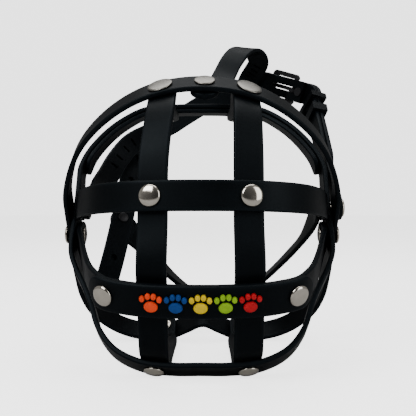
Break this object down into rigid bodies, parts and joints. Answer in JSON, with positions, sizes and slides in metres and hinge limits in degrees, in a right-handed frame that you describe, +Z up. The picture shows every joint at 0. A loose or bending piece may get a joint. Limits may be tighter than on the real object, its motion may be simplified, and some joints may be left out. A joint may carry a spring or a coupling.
{
  "type": "basket muzzle",
  "caption": "Riveted strap basket muzzle for a large dog with a buckled neck loop, a throat strap and a forehead strap.",
  "frame": {"origin": "middle of the overall width and depth, at the table surface that the muzzle stands on", "axes": "+X across the width, towards the buckle side; +Y from the front of the basket to the neck; +Z up"},
  "size_m": [0.1451, 0.1684, 0.1771],
  "materials": {
    "strap": "satin coated webbing with a fine grain",
    "polished_rivet": "polished nickel",
    "satin_rivet": "satin nickel",
    "buckle_metal": "satin black",
    "tongue_metal": "satin black",
    "paw_orange": "soft matte",
    "paw_blue": "soft matte",
    "paw_yellow": "soft matte",
    "paw_red": "soft matte",
    "paw_green": "soft matte"
  },
  "bodies": {
    "basket": {"top_ring": "strap", "chin_ring": "strap", "bridge_liner": "strap", "upper_nose_band": "strap", "lower_nose_band": "strap", "badge_strip": "strap", "paw_orange": "paw_orange", "paw_blue": "paw_blue", "paw_yellow": "paw_yellow", "paw_green": "paw_green", "paw_red": "paw_red", "face_strap_left": "strap", "face_strap_right": "strap", "bridge_rivets": "satin_rivet", "forehead_rivet": "satin_rivet", "nose_rivets": "polished_rivet", "badge_rivets": "polished_rivet", "chin_rivets": "polished_rivet", "floor_rivets": "polished_rivet", "rear_bridge_rivets": "satin_rivet", "lower_side_rivets": "polished_rivet", "swivel_rivet_left": "polished_rivet", "swivel_rivet_right": "polished_rivet", "forehead_strap": "strap"},
    "neck_loop": {"neck_strap_left": "strap", "neck_strap_right": "strap", "size_strap": "strap", "throat_strap": "strap", "nape_rivet": "tongue_metal", "size_rivet": "tongue_metal", "throat_stud": "tongue_metal", "buckle_frame": "buckle_metal", "buckle_chape": "strap", "chape_rivet": "tongue_metal", "fixed_keeper": "strap"},
    "tongue": {"buckle_tongue": "tongue_metal"},
    "keeper": {"sliding_keeper": "strap"}
  },
  "joints": [
    {"name": "neck_swivel", "type": "hinge", "parent": "basket", "child": "neck_loop", "pos_m": [-0.0021, -0.0151, 0.0767], "axis": [1, 0, 0], "range_deg": [-8, 5], "deforming": ["forehead_strap"]},
    {"name": "tongue_hinge", "type": "hinge", "parent": "neck_loop", "child": "tongue", "pos_m": [0.05548, 0.05976, 0.15155], "axis": [-0.2402, 0.2549, -0.9367], "range_deg": [0, 45]},
    {"name": "keeper_slide", "type": "slide", "parent": "neck_loop", "child": "keeper", "axis": [0, 0.691, 0.7229], "range_m": [-0.003, 0.003]}
  ]
}
